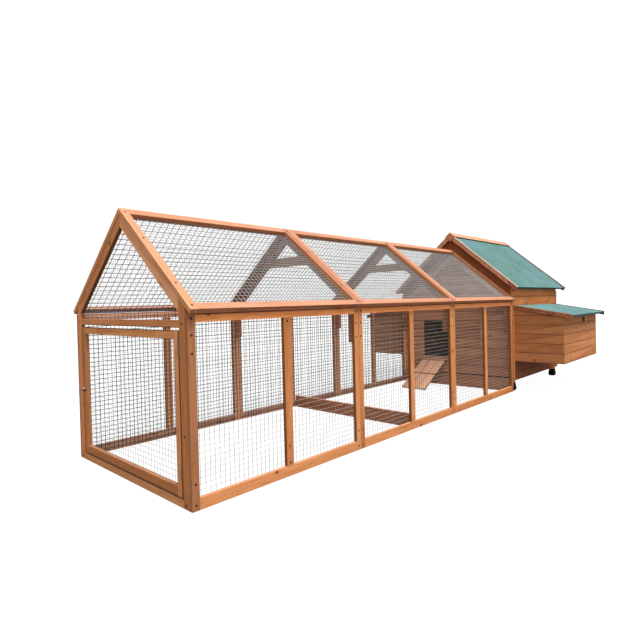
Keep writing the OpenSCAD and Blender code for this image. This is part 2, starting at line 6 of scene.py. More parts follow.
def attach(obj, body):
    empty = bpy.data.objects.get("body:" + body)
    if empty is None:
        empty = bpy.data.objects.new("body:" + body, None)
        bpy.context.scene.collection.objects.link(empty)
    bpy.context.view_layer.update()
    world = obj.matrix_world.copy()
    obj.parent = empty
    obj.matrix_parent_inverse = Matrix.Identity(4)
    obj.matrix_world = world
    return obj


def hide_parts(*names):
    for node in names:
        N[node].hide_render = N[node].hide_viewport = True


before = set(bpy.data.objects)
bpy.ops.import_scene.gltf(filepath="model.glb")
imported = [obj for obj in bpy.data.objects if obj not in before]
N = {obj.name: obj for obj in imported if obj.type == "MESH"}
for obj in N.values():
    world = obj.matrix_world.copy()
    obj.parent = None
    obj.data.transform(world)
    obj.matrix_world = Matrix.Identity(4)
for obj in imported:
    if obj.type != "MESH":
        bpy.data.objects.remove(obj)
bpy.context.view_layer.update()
scene = bpy.context.scene
random.seed(11)

# ---------------------------------------------------------------- sizes, metres, as in the CAD source
YM = 2.318                      # the CAD's Y counts from the run's front face; the frame's from the middle
BAY, HW, T = 1.112, 0.565, 0.020
INN = HW - T
RUN_L = 3 * BAY
WALL_H, RIDGE, RA = 0.804, 1.315, math.radians(39.4)
ROOF_M, ROOF_T, EAVE_X = 0.040, 0.022, 0.600
ROOF_S = EAVE_X / math.cos(RA)
ZJ = 0.0005
STILE, MID, TOPR, BOTR = 0.038, 0.046, 0.037, 0.050
HY0 = RUN_L + 0.004
HY1 = HY0 + 1.2
HRIDGE, HA, HEAVE = 1.468, math.radians(40.6), 0.627
HS = HEAVE / math.cos(HA)
RY0, RY1 = HY0 - 0.040, HY1 + 0.110
NEST_C = HY0 + 0.528
NX, NZ, NL = 0.978, 0.266, 1.0
LA = math.radians(10.15)


def bay0(b): return b * BAY + (0 if b == 0 else ZJ)
def bay1(b): return (b + 1) * BAY - (0 if b == 2 else ZJ)
def sp(zr, a, s, q): return (s * math.cos(a) - q * math.sin(a), zr - s * math.sin(a) - q * math.cos(a))
def zat(zr, a, x, q): return zr - x * math.tan(a) - q / math.cos(a)
def lz(x, q): return 0.769 - (x - HW) * math.tan(LA) - q / math.cos(LA)


# ---------------------------------------------------------------- camera
def make_camera():
    az, pitch, roll = math.radians(44.311), math.radians(0.834), math.radians(-1.47)
    # forward direction: azimuth 0 looks along +Y and 90 along -X
    fwd = Vector((-math.sin(az) * math.cos(pitch), math.cos(az) * math.cos(pitch), -math.sin(pitch)))
    right = fwd.cross(Vector((0, 0, 1))).normalized()
    up = right.cross(fwd)
    r2 = right * math.cos(roll) + up * math.sin(roll)
    u2 = up * math.cos(roll) - right * math.sin(roll)
    m = Matrix((r2, u2, -fwd)).transposed()
    cam = bpy.data.objects.new("camera", bpy.data.cameras.new("camera"))
    scene.collection.objects.link(cam)
    cam.matrix_world = Matrix.Translation((2.2551, -1.0669 - YM, 0.8326)) @ m.to_4x4()
    cam.data.sensor_width = 36.0
    cam.data.lens = 485.86 / 640 * 36.0
    cam.data.shift_x = (320 - 302.69) / 640
    cam.data.shift_y = -(320 - 310.63) / 640
    cam.data.clip_start, cam.data.clip_end = 0.05, 200
    scene.camera = cam


make_camera()


# ---------------------------------------------------------------- node helpers
class G:
    """A small helper that adds nodes to a material and links them."""

    def __init__(self, name):
        self.m = bpy.data.materials.new(name)
        self.m.use_nodes = True
        self.t = self.m.node_tree
        self.t.nodes.clear()
        self.out = self.t.nodes.new("ShaderNodeOutputMaterial")
        self.bsdf = self.t.nodes.new("ShaderNodeBsdfPrincipled")
        self.t.links.new(self.bsdf.outputs[0], self.out.inputs[0])

    def n(self, kind, **props):
        x = self.t.nodes.new(kind)
        for k, v in props.items():
            setattr(x, k, v)
        return x

    def put(self, sock, v):
        if isinstance(v, bpy.types.NodeSocket):
            self.t.links.new(v, sock)
        else:
            sock.default_value = v

    def math(self, op, a, b=None, c=None, clamp=False):
        x = self.n("ShaderNodeMath", operation=op, use_clamp=clamp)
        for i, v in enumerate((a, b, c)):
            if v is not None:
                self.put(x.inputs[i], v)
        return x.outputs[0]

    def vmath(self, op, a, b=None, scale=None):
        x = self.n("ShaderNodeVectorMath", operation=op)
        self.put(x.inputs[0], a)
        if b is not None:
            self.put(x.inputs[1], b)
        if scale is not None:
            self.put(x.inputs["Scale"], scale)
        return x.outputs["Value"] if op in ("LENGTH", "DOT_PRODUCT", "DISTANCE") else x.outputs["Vector"]

    def xyz(self, v):
        x = self.n("ShaderNodeSeparateXYZ")
        self.put(x.inputs[0], v)
        return x.outputs

    def vec(self, x, y, z):
        c = self.n("ShaderNodeCombineXYZ")
        for i, v in enumerate((x, y, z)):
            self.put(c.inputs[i], v)
        return c.outputs[0]

    def noise(self, v, scale, detail=3.0, rough=0.55, distort=0.0, dims="3D"):
        x = self.n("ShaderNodeTexNoise", noise_dimensions=dims)
        self.put(x.inputs["Vector"], v)
        x.inputs["Scale"].default_value = scale
        x.inputs["Detail"].default_value = detail
        x.inputs["Roughness"].default_value = rough
        x.inputs["Distortion"].default_value = distort
        return x.outputs["Fac"]

    def ramp(self, fac, stops, mode="LINEAR"):
        x = self.n("ShaderNodeValToRGB")
        x.color_ramp.interpolation = mode
        el = x.color_ramp.elements
        while len(el) < len(stops):
            el.new(0.5)
        for e, (p, c) in zip(el, stops):
            e.position = p
            e.color = (*c, 1) if len(c) == 3 else c
        self.put(x.inputs[0], fac)
        return x.outputs["Color"]

    def mix(self, fac, a, b, mode="MIX"):
        x = self.n("ShaderNodeMix", data_type="RGBA", blend_type=mode)
        self.put(x.inputs[0], fac)
        for s, v in ((x.inputs[6], a), (x.inputs[7], b)):
            if isinstance(v, bpy.types.NodeSocket):
                self.t.links.new(v, s)
            else:
                s.default_value = (*v, 1)
        return x.outputs[2]

    def map(self, v, a, b, c, d):
        x = self.n("ShaderNodeMapRange")
        self.put(x.inputs[0], v)
        for i, k in enumerate((a, b, c, d)):
            x.inputs[i + 1].default_value = k
        return x.outputs[0]

    def bump(self, height, strength, distance):
        x = self.n("ShaderNodeBump")
        x.inputs["Strength"].default_value = strength
        x.inputs["Distance"].default_value = distance
        self.put(x.inputs["Height"], height)
        self.t.links.new(x.outputs[0], self.bsdf.inputs["Normal"])

    def set(self, **kw):
        for k, v in kw.items():
            self.put(self.bsdf.inputs[k.replace("_", " ")], v)
        return self.m


def lin(r, g, b):
    """A linear colour from 0-255 screen values."""
    f = lambda c: (c / 255 / 12.92) if c / 255 <= 0.04045 else ((c / 255 + 0.055) / 1.055) ** 2.4
    return (f(r), f(g), f(b))


# ---------------------------------------------------------------- wood
def wood(name, grain="Z", thick="X", tone=(1, 1, 1), slope=None, boards=None, pale=0.0, knots=0.16, rough=0.56, grime=None, bleach_and_highlight=0.30,
         batch=0.0, lip=None, bleach_highlight_colour=(222, 182, 158), painted_eave_shade=None,
         tone_and_painted_light=(), joints=(), painted_front_face_shade=None, painted_underside_shade=None, mottle=0.0, planks=None):
    """Stained softwood. grain is the axis the fibres run along and thick the axis the knots go through.
    slope turns the coordinates about Y, on both sides alike, so that the fibres run down a roof. boards is (z0, pitch):
    the plate is divided into boards of that height, each with its own figure."""
    g = G(name)
    tc = g.n("ShaderNodeTexCoord")
    p = tc.outputs["Object"]
    X, Y, Z = g.xyz(p)
    if slope is not None:
        ax = g.math("ABSOLUTE", X)
        c, s = math.cos(slope), math.sin(slope)
        a = g.math("SUBTRACT", g.math("MULTIPLY", ax, c), g.math("MULTIPLY", Z, s))   # down the slope
        b = g.math("ADD", g.math("MULTIPLY", ax, s), g.math("MULTIPLY", Z, c))        # through the panel
        X, Z = a, b
    geo = g.n("ShaderNodeNewGeometry")
    rnd = geo.outputs["Random Per Island"]
    if boards:
        z0, pitch = boards
        idx = g.math("FLOOR", g.math("DIVIDE", g.math("SUBTRACT", Z, z0), pitch))
        wn = g.n("ShaderNodeTexWhiteNoise", noise_dimensions="3D")
        side = g.math("ROUND", g.math("MULTIPLY", g.math("SIGN", X), 1.0)) if thick == "X" else g.math("MULTIPLY", rnd, 7.0)
        g.put(wn.inputs["Vector"], g.vec(idx, side, g.math("MULTIPLY", rnd, 13.0)))
        rnd = wn.outputs["Value"]
    ax = {"X": X, "Y": Y, "Z": Z}
    L = ax[grain]
    H = ax[thick]
    A = [ax[k] for k in "XYZ" if k not in (grain, thick)][0]
    off = g.math("MULTIPLY", rnd, 61.0)
    Lo = g.math("ADD", L, off)
    Ao = g.math("ADD", A, g.math("MULTIPLY", rnd, 17.0))
    # slow bend of the fibres
    bend = g.noise(g.vec(g.math("MULTIPLY", Lo, 1.6), g.math("MULTIPLY", Ao, 5.0), 0.0), 1.0, 2.0)
    Ab = g.math("ADD", Ao, g.math("MULTIPLY", g.math("SUBTRACT", bend, 0.5), 0.03))
    # knots: round through the board
    kl, ka = 0.17, 0.075
    kv = g.n("ShaderNodeTexVoronoi", voronoi_dimensions="2D", feature="F1")
    kv.inputs["Scale"].default_value = 1.0
    kp = g.vec(g.math("DIVIDE", Lo, kl), g.math("DIVIDE", Ao, ka), 0.0)
    g.put(kv.inputs["Vector"], kp)
    d = g.vmath("MULTIPLY", g.vmath("SUBTRACT", kp, kv.outputs["Position"]), (kl * 0.72, ka, 0.0))
    dist = g.vmath("LENGTH", d)
    kc = g.xyz(kv.outputs["Color"])
    present = g.math("LESS_THAN", kc[0], knots)
    kr = g.math("MULTIPLY_ADD", kc[1], 0.0075, 0.0035)
    kn = g.math("DIVIDE", dist, kr)                                   # 1 at the knot's rim
    wob = g.noise(g.vec(Lo, Ao, 0.0), 140.0, 2.0)
    kn = g.math("ADD", kn, g.math("MULTIPLY", g.math("SUBTRACT", wob, 0.5), 0.5))
    knot = g.math("MULTIPLY", g.math("SUBTRACT", 1.0, g.math("SMOOTH_MIN", g.math("MAXIMUM", g.math("MULTIPLY_ADD", kn, 1.7, -0.9), 0.0), 1.0, 0.2), clamp=True), present, clamp=True)
    halo = g.math("MULTIPLY", g.math("SUBTRACT", 1.0, g.math("MULTIPLY", kn, 0.34), clamp=True), present, clamp=True)
    # the fibres flow round a knot
    flow = g.math("MULTIPLY", halo, 0.012)
    Af = g.math("ADD", Ab, flow)
    # growth figure: broad bands across the board, stretched along it
    fig = g.noise(g.vec(g.math("MULTIPLY", Lo, 0.9), g.math("MULTIPLY", Af, 26.0), g.math("MULTIPLY", H, 6.0)), 1.0, 2.0, 0.5)
    rings = g.math("FRACT", g.math("MULTIPLY", fig, 9.0))
    rings = g.ramp(rings, [(0.0, (0.0,) * 3), (0.62, (0.25,) * 3), (0.86, (1.0,) * 3), (1.0, (0.0,) * 3)])
    fine = g.noise(g.vec(g.math("MULTIPLY", Lo, 9.0), g.math("MULTIPLY", Af, 420.0), g.math("MULTIPLY", H, 300.0)), 1.0, 3.0, 0.6)
    broad = g.noise(g.vec(g.math("MULTIPLY", Lo, 2.2), g.math("MULTIPLY", Ao, 9.0), 0.0), 1.0, 4.0, 0.6)
    light = tuple(a * b for a, b in zip(lin(217, 148, 97), tone))
    mid = tuple(a * b for a, b in zip(lin(200, 131, 81), tone))
    dark = tuple(a * b for a, b in zip(lin(166, 98, 53), tone))
    knotc = tuple(a * b for a, b in zip(lin(88, 47, 27), tone))
    per = g.math("MULTIPLY_ADD", rnd, 0.34, g.math("MULTIPLY", broad, 0.66))
    col = g.ramp(per, [(0.22, dark), (0.46, mid), (0.78, light)])
    col = g.mix(g.math("MULTIPLY", rings, 0.48), col, dark)
    col = g.mix(g.map(fine, 0.42, 0.75, 0.0, 0.42), col, tuple(0.66 * c for c in dark))
    col = g.mix(g.math("MULTIPLY", halo, 0.45), col, dark)
    col = g.mix(g.math("MULTIPLY", knot, 0.9), col, knotc)
    if pale:
        col = g.mix(pale, col, lin(226, 190, 146))
    height = g.math("ADD", g.math("MULTIPLY", rings, 0.5), g.math("ADD", g.math("MULTIPLY", fine, 0.6), g.math("MULTIPLY", knot, -0.8)))
    if boards:
        z0, pitch = boards
        f = g.math("FRACT", g.math("DIVIDE", g.math("SUBTRACT", Z, z0), pitch))
        edge = g.math("MINIMUM", f, g.math("SUBTRACT", 1.0, f))
        dirt = g.map(edge, 0.022, 0.050, 1.0, 0.0)
        col = g.mix(g.math("MULTIPLY", g.map(f, 0.0, 0.34, 1.0, 0.0), 0.26), col, lin(120, 66, 34))   # painted shade: each board darkens towards its lower edge
        col = g.mix(g.math("MULTIPLY", dirt, 0.86), col, lin(86, 42, 20))
    if painted_eave_shade:                                                        # painted shadow: a dark band just under the roof
        ub = g.math("SUBTRACT", HRIDGE * math.cos(HA), g.math("ADD", g.math("MULTIPLY", g.math("ABSOLUTE", X), math.sin(HA)), g.math("MULTIPLY", Z, math.cos(HA))))
        col = g.mix(g.map(ub, painted_eave_shade, painted_eave_shade + 0.03, 0.90, 0.0), col, lin(150, 64, 12))
    if grime:                                                        # darker towards the ground
        gz = g.xyz(tc.outputs["Object"])[2]
        gn = g.noise(g.vec(g.math("MULTIPLY", Lo, 6.0), g.math("MULTIPLY", Ao, 6.0), gz), 1.0, 3.0)
        low = g.math("MULTIPLY", g.map(gz, 0.0, grime, 1.0, 0.0), g.math("MULTIPLY_ADD", gn, 1.2, -0.2, clamp=True))
        col = g.mix(g.math("MULTIPLY", low, 0.35, clamp=True), col, lin(120, 78, 52))
    # handling wear on arrises, from a bevelled normal
    bv = g.n("ShaderNodeBevel", samples=4)
    bv.inputs["Radius"].default_value = 0.0022
    dot = g.vmath("DOT_PRODUCT", bv.outputs[0], geo.outputs["Normal"])
    wear = g.math("MULTIPLY", g.map(dot, 0.985, 0.90, 0.0, 1.0), g.map(broad, 0.35, 0.65, 0.25, 0.8), clamp=True)
    col = g.mix(g.math("MULTIPLY", wear, 0.55), col, light)
    OX, OY, OZ = g.xyz(tc.outputs["Object"])
    own = {"X": OX, "Y": OY, "Z": OZ}
    for axis, at, lo, hi in tone_and_painted_light:                                    # colour factors by position: paler or darker timber, and painted light and shade where a piece is lit, shaded or behind the lit mesh
        col = g.vmath("MULTIPLY", col, g.mix(g.map(own[axis], at - 0.003, at + 0.003, 0.0, 1.0), lo, hi))
    if mottle:                                                       # stain taken up unevenly
        mt = g.noise(g.vec(g.math("MULTIPLY", Lo, 22.0), g.math("MULTIPLY", Ao, 60.0), 0.0), 1.0, 3.0, 0.6)
        col = g.mix(g.map(mt, 0.42, 0.60, 0.0, mottle), col, lin(96, 48, 36))
    if planks:                                                       # dark joints between planks laid side by side
        px, pw = planks
        pf = g.math("FRACT", g.math("DIVIDE", g.math("SUBTRACT", OX, px), pw))
        pe = g.math("MINIMUM", pf, g.math("SUBTRACT", 1.0, pf))
        col = g.mix(g.map(pe, 0.030, 0.055, 0.85, 0.0), col, lin(52, 32, 26))
    for axis, at, wd in joints:                                      # dark bands along joints and gaps: painted shade in the gap, with some dirt
        jd = g.math("ABSOLUTE", g.math("SUBTRACT", own[axis], at))
        col = g.mix(g.map(jd, wd, wd + 0.003, 0.85, 0.0), col, lin(64, 32, 18))
    if painted_front_face_shade:                                                      # painted shade: faces turned to the front are darkened
        ny = g.xyz(geo.outputs["True Normal"])[1]
        front_face_shade = g.math("MULTIPLY", g.map(ny, -0.9, -0.6, 1.0, 0.0), g.map(OY, 0.02 - YM, 0.03 - YM, 0.25, 1.0))
        col = g.mix(front_face_shade, col, g.vmath("MULTIPLY", col, painted_front_face_shade))
    if painted_underside_shade is not None:                                             # painted shade: downward faces darkened, near-black beyond a line
        dn = g.xyz(geo.outputs["True Normal"])[2]
        tf = g.math("MULTIPLY", g.map(dn, -0.30, -0.12, 1.0, 0.0), g.map(OY, painted_underside_shade[0] - 0.01, painted_underside_shade[0] + 0.01, painted_underside_shade[1], painted_underside_shade[2]))
        col = g.mix(tf, col, lin(*(painted_underside_shade[3] if len(painted_underside_shade) > 3 else (38, 26, 22))))
    if bleach_and_highlight:                                                       # upward faces paler: painted highlight, with sun bleaching
        nz = g.xyz(geo.outputs["True Normal"])[2]
        up = g.math("MULTIPLY", g.map(nz, 0.35, 0.75, 0.0, 1.0), g.map(broad, 0.25, 0.75, 0.55, 1.25))
        if painted_underside_shade is not None:                                         # not beyond that line
            up = g.math("MULTIPLY", up, g.map(OY, painted_underside_shade[0] - 0.01, painted_underside_shade[0] + 0.01, 1.0, 0.1))
        col = g.mix(g.math("MULTIPLY", up, bleach_and_highlight, clamp=True), col, lin(*bleach_highlight_colour))
    if batch:                                                        # each bay's last bar is of a redder, darker timber
        fr = g.math("FRACT", g.math("DIVIDE", g.math("ADD", Y, YM - 0.001), BAY))
        last = g.map(fr, 1.0 - (ROOF_M + 0.0006) / BAY, 1.0 - (ROOF_M - 0.0006) / BAY, 0.0, 1.0)
        last = g.math("MULTIPLY", last, g.map(Y, -YM + 0.10, -YM + 0.11, 0.0, 1.0))
        col = g.mix(g.math("MULTIPLY", last, batch), col, lin(158, 100, 84))
    if lip:                                                          # shadow-dark lower edge of a cap
        col = g.mix(g.map(X, lip, lip + 0.0006, 0.0, 0.9), col, lin(46, 30, 22))
    g.bump(height, 0.35, 0.0009)
    rg = g.math("MULTIPLY_ADD", fine, 0.16, rough - 0.08)
    return g.set(Base_Color=col, Roughness=rg, Specular_IOR_Level=0.28)


def felt(name, slope, top, tone, seams=None):
    """Mineral felt. top is how far its upper face lies from the origin, measured square to the slope: what hangs
    lower than that is the turned-down edge, painted dark as shade, with the bitumen."""
    g = G(name)
    tc = g.n("ShaderNodeTexCoord").outputs["Object"]
    x, y, z = g.xyz(tc)
    depth = g.math("SUBTRACT", top, g.math("ADD", g.math("MULTIPLY", g.math("ABSOLUTE", x), math.sin(slope)), g.math("MULTIPLY", z, math.cos(slope))))
    patch = g.noise(tc, 5.0, 4.0, 0.55)
    patch2 = g.noise(tc, 17.0, 3.0, 0.6)
    speck = g.noise(tc, 260.0, 2.0, 0.7)
    grit = g.n("ShaderNodeTexVoronoi", feature="F1")
    g.put(grit.inputs["Vector"], tc)
    grit.inputs["Scale"].default_value = 620.0
    gr = grit.outputs["Distance"]
    gc = g.xyz(grit.outputs["Color"])[0]
    t = lambda r, gg, bb: tuple(u * v * 1.09 for u, v in zip(lin(r, gg, bb), tone))
    col = g.ramp(patch, [(0.34, t(74, 111, 104)), (0.50, t(84, 120, 118)), (0.66, t(90, 125, 133))])
    col = g.mix(g.map(patch2, 0.52, 0.72, 0.0, 0.5), col, t(104, 142, 150))
    col = g.mix(g.map(speck, 0.45, 0.70, 0.0, 0.35), col, t(124, 158, 150))
    col = g.mix(g.math("MULTIPLY", gc, 0.30), col, t(58, 92, 84))
    if seams:                                                        # dark lines where the felt meets the boards: painted shade, with dirt
        yy = g.math("ADD", y, YM)
        e = g.math("MINIMUM", g.math("SUBTRACT", yy, seams[0]), g.math("SUBTRACT", seams[1], yy))
        dn = g.math("MULTIPLY_ADD", patch2, 0.010, 0.004)
        col = g.mix(g.math("MULTIPLY", g.math("SUBTRACT", 1.0, g.math("DIVIDE", e, dn), clamp=True), 0.85), col, lin(36, 50, 50))
        dsl = g.math("SUBTRACT", g.math("SUBTRACT", g.math("MULTIPLY", g.math("ABSOLUTE", x), math.cos(slope)), g.math("MULTIPLY", z, math.sin(slope))), seams[2])
        col = g.mix(g.math("MULTIPLY", g.math("SUBTRACT", 1.0, g.math("DIVIDE", dsl, 0.010), clamp=True), 0.8), col, lin(36, 50, 50))
        ef = g.math("MULTIPLY_ADD", patch2, -0.008, g.math("SUBTRACT", seams[1], yy))
        col = g.mix(g.map(ef, 0.022, 0.034, 0.92, 0.0), col, lin(50, 32, 24))                # leaf mould along the rear fascia
    # the turned-down edge painted dark: painted shade, with the bitumen
    col = g.mix(g.map(depth, 0.0016, 0.0026, 0.0, 0.85), col, lin(38, 58, 60))
    g.bump(g.math("ADD", gr, g.math("MULTIPLY", patch2, 0.8)), 0.45, 0.0012)
    return g.set(Base_Color=col, Roughness=g.math("MULTIPLY_ADD", gc, 0.1, 0.78), Specular_IOR_Level=0.3)


def metal(name, colour, rough, scale=60.0, spot=0.3, metallic=1.0):
    g = G(name)
    tc = g.n("ShaderNodeTexCoord").outputs["Object"]
    a = g.noise(tc, scale, 4.0, 0.6)
    b = g.noise(tc, scale * 9, 2.0, 0.5)
    col = g.mix(g.math("MULTIPLY", a, spot), colour, tuple(c * 0.55 for c in colour))
    g.bump(b, 0.15, 0.0003)
    return g.set(Base_Color=col, Roughness=g.math("MULTIPLY_ADD", a, 0.25, rough - 0.12), Metallic=metallic)


def plastic(name, colour, rough):
    g = G(name)
    tc = g.n("ShaderNodeTexCoord").outputs["Object"]
    a = g.noise(tc, 40.0, 4.0, 0.6)
    b = g.noise(tc, 1400.0, 2.0, 0.5)
    col = g.mix(g.map(a, 0.5, 0.8, 0.0, 0.35), colour, tuple(min(1, c * 2.2) for c in colour))
    g.bump(b, 0.2, 0.0002)
    return g.set(Base_Color=col, Roughness=g.math("MULTIPLY_ADD", a, 0.2, rough - 0.1), Specular_IOR_Level=0.12)


# side-wall stiles: faces turned to the front darkened as painted shade, far-side stiles painted paler and bluer as the
# haze of the lit mesh in front
WZ = wood("timber_upright", "Z", "X", grime=0.10, tone_and_painted_light=(("X", 0.0, (1.35, 1.46, 1.85), (1.0, 1.0, 1.0)), ("Y", 0.09 - YM, (0.80, 0.86, 1.05), (1.14, 1.17, 1.20))), painted_front_face_shade=(0.46, 0.38, 0.28))          # stiles of the side walls
GX = 0.497                         # outer edges of the door
WP = wood("timber_posts", "Z", "Y", grime=0.10, tone_and_painted_light=(("X", 0.0, (1.40, 1.30, 1.24), (1.13, 1.09, 0.99)),),
          joints=(("X", GX, 0.003), ("X", -GX, 0.003)))
# door stiles: the left one darker as painted shade
WD = wood("timber_door_stiles", "Z", "Y", grime=0.10, tone_and_painted_light=(("X", 0.0, (0.92, 0.89, 0.80), (1.52, 1.62, 1.80)),),
          joints=(("X", GX, 0.004), ("X", -GX, 0.004), ("X", 0.4575, 0.001)))
WDR = wood("timber_door_rails", "X", "Y", grime=0.06, tone_and_painted_light=(("Z", 0.4, (0.92, 0.86, 0.74), (1.26, 1.30, 1.22)),),
           joints=(("Z", 0.042, 0.0015), ("Z", 0.734, 0.0015)))
WFR = wood("timber_front_rails", "X", "Y", grime=0.04, tone_and_painted_light=(("Z", 0.4, (1.28, 1.42, 1.60), (1.16, 1.12, 1.02)),),
           joints=(("Z", 0.038, 0.0015), ("Z", 0.746, 0.0015)))
WZy = wood("timber_upright_front", "Z", "Y", grime=0.10, tone=(0.80, 0.88, 1.2))    # posts and door stiles, wide face to the front
# side-wall rails: top rails painted paler as painted light where the eave's shade falls, far side paler and bluer as
# the haze of the lit mesh in front; the dark band at the wall top is painted shade under the eave
WY = wood("timber_lengthwise", "Y", "X", grime=0.06, tone_and_painted_light=(("Z", 0.6, (1.20, 1.20, 1.20), (1.78, 1.62, 1.45)), ("X", 0.0, (0.92, 1.16, 1.95), (1.0, 1.0, 1.0))),
          joints=(("Z", WALL_H, 0.004),))        # rails of the side walls
WX = wood("timber_crosswise", "X", "Y", grime=0.06, tone=(1.02, 1.06, 1.42))         # rails and boards across the run
# roof bars: front end faces painted paler, as painted light on a shaded face
WS = wood("timber_down_slope", "X", "Z", slope=RA, batch=0.70, tone=(1.0, 0.98, 1.0), tone_and_painted_light=(("Y", -YM, (1.35, 1.55, 1.85), (1.0, 1.0, 1.0)),))          # roof bars and rafters
# roof rails: the far eave rail painted paler and bluer as the haze of the lit mesh in front
WSY = wood("timber_roof_rails", "Y", "Z", slope=RA, tone=(0.90, 0.84, 0.98), tone_and_painted_light=(("X", -0.5, (0.92, 1.16, 1.70), (1.0, 1.0, 1.0)),))         # ridge and eave rails
# truss rafters: the last truss painted paler and bluer as the haze of the lit mesh in front
WRF = wood("timber_rafters", "X", "Y", slope=RA, tone=(0.66, 0.76, 1.10), tone_and_painted_light=(("Y", 3 * BAY - 0.05 - YM, (1.0, 1.0, 1.0), (1.75, 2.25, 3.10)),))
# gable rafters: undersides painted dark brown as shade
WRFL = wood("timber_gable_rafters", "X", "Y", slope=RA, tone_and_painted_light=(("X", 0.0, (1.04, 1.0, 0.92), (1.52, 1.78, 2.45)),), painted_underside_shade=(9.0, 0.85, 0.85, (112, 58, 22)))            # rafters on edge
FP = 0.0864
# front wall: its top gets painted shadow under the rakes
BF = wood("boards_front", "X", "Y", boards=(0.284 - FP * 3, FP), tone=(1.10, 1.24, 1.75), painted_eave_shade=0.10,
          tone_and_painted_light=(("Z", 0.80, (1.0, 1.0, 1.0), (0.86, 1.04, 1.22)),), joints=(("Z", 0.2005, 0.0060),))
BR = wood("boards_rear", "X", "Y", boards=(0.166 - 0.0851, 0.0851))
# house side walls: low boards darkened as painted shade under the nest, top boards paler as painted light under the
# eave
BS = wood("boards_side", "Y", "X", boards=(0.166 - 0.0851, 0.0851),
          tone_and_painted_light=(("Z", 0.166 + 0.0851, (0.62, 0.48, 0.32), (1.0, 1.0, 1.0)), ("Z", 0.166 + 6 * 0.0851, (1.0, 1.0, 1.0), (1.20, 1.04, 0.80))))
BN = wood("boards_nest_side", "Y", "X", boards=(NZ, 0.082))
# nest ends: the left one painted paler and bluer as the haze of the lit mesh in front
BE = wood("boards_nest_end", "X", "Y", boards=(NZ, 0.082), tone_and_painted_light=(("X", 0.0, (1.45, 1.70, 2.20), (1.0, 1.0, 1.0)),))
WC = wood("corner_board", "Z", "X")
# rake fascias: rear ends near-black and low ends darker as painted shade, upward edges paled as painted highlight
FA = wood("fascia", "X", "Y", slope=HA, tone=(0.98, 0.96, 1.14), bleach_and_highlight=1.6, bleach_highlight_colour=(238, 214, 196), mottle=0.35,
          tone_and_painted_light=(("Y", RY1 - YM - 0.05, (1.26, 1.38, 1.75), (0.10, 0.055, 0.045)), ("X", 0.545, (1.0, 1.0, 1.0), (0.62, 0.50, 0.62))),
          painted_underside_shade=(RY1 - YM - 0.05, 0.35, 0.95))
# lid fascias: the far half near-black as painted shade
FL = wood("lid_fascia", "X", "Y", slope=LA, tone=(0.86, 0.76, 0.86), bleach_and_highlight=0.5, mottle=0.7,
          tone_and_painted_light=(("Y", NEST_C - YM, (1.0, 1.0, 1.0), (0.12, 0.07, 0.055)),), painted_underside_shade=(NEST_C - YM, 0.35, 0.95))
RC = wood("ridge_cap", "Y", "Z", slope=HA, tone=(1.0, 0.96, 0.98), bleach_and_highlight=0.7, bleach_highlight_colour=(216, 176, 142), lip=0.0572 - HRIDGE * math.sin(HA))
INX = wood("inner_crosswise", "X", "Y", pale=0.55)
INY = wood("inner_lengthwise", "Y", "X", pale=0.55)
INZ = wood("inner_upright", "Z", "X", pale=0.55)
INF = wood("inner_floor", "Y", "Z", pale=0.6)
FELT = felt("roofing_felt", HA, HRIDGE * math.cos(HA), (1, 1, 1),
            (RY0 + 0.016, RY1 - 0.016, 0.058 - HRIDGE * math.sin(HA)))
LFELT = felt("lid_roofing_felt", LA, HW * math.sin(LA) + 0.769 * math.cos(LA), (1.24, 1.22, 1.24), (-50.0, NEST_C + 0.503, -50.0))
# one galvanised wire in lit and shaded copies, as painted light and shade: the far side near-black, the near roof and
# lengthwise wires pale
WIRE = metal("galvanised_wire", (0.52, 0.52, 0.525), 0.5, 40.0, 0.2, 0.15)
WIRE_SHADED_COPY = metal("wire_painted_shade", (0.022, 0.026, 0.028), 0.65, 40.0, 0.3, 0.1)
RUST = metal("browned_screws", (0.030, 0.008, 0.005), 0.85, 400.0, 0.4, 0.1)
WIREL = metal("galvanised_lengthwise_wire", (0.44, 0.42, 0.41), 0.6, 40.0, 0.25, 0.05)
WIREN = metal("galvanised_wall_wire", (0.175, 0.160, 0.150), 0.65, 40.0, 0.25, 0.05)
ZINC = metal("zinc_plate", (0.62, 0.62, 0.61), 0.38, 90.0, 0.35)
STAINED = metal("stained_over_leaf", (0.40, 0.165, 0.060), 0.6, 90.0, 0.5, 0.1)
BRASS = metal("yellow_passivate", (0.46, 0.24, 0.085), 0.6, 90.0, 0.5, 0.2)
DARKM = metal("blackened_steel", (0.10, 0.10, 0.105), 0.45, 90.0, 0.4, 0.85)
TRAYM = metal("galvanised_sheet", (0.60, 0.62, 0.64), 0.42, 14.0, 0.35)
BLACK = plastic("black_plastic", (0.005, 0.005, 0.0055), 0.55)
DULL = metal("dull_zinc", (0.20, 0.165, 0.14), 0.55, 90.0, 0.45, 0.5)


def strap_painted_shadow_highlight(name):
    """Steel strap painted near-black as its shadow, with a painted highlight along its rear edge."""
    g = G(name)
    tc = g.n("ShaderNodeTexCoord").outputs["Object"]
    y = g.math("ADD", g.xyz(tc)[1], YM - NEST_C - 0.067)
    a = g.noise(tc, 90.0, 4.0, 0.6)
    # painted shadow across the strap, painted highlight at its rear edge
    col = g.mix(g.map(g.math("MULTIPLY_ADD", a, 0.004, y), 0.0070, 0.0105, 0.0, 1.0), (0.010, 0.007, 0.005), (0.92, 0.86, 0.76))
    g.bump(g.noise(tc, 800.0, 2.0, 0.5), 0.15, 0.0003)
    return g.set(Base_Color=col, Roughness=g.math("MULTIPLY_ADD", a, 0.25, 0.35), Metallic=0.35)


STRAP = strap_painted_shadow_highlight("hasp_strap")

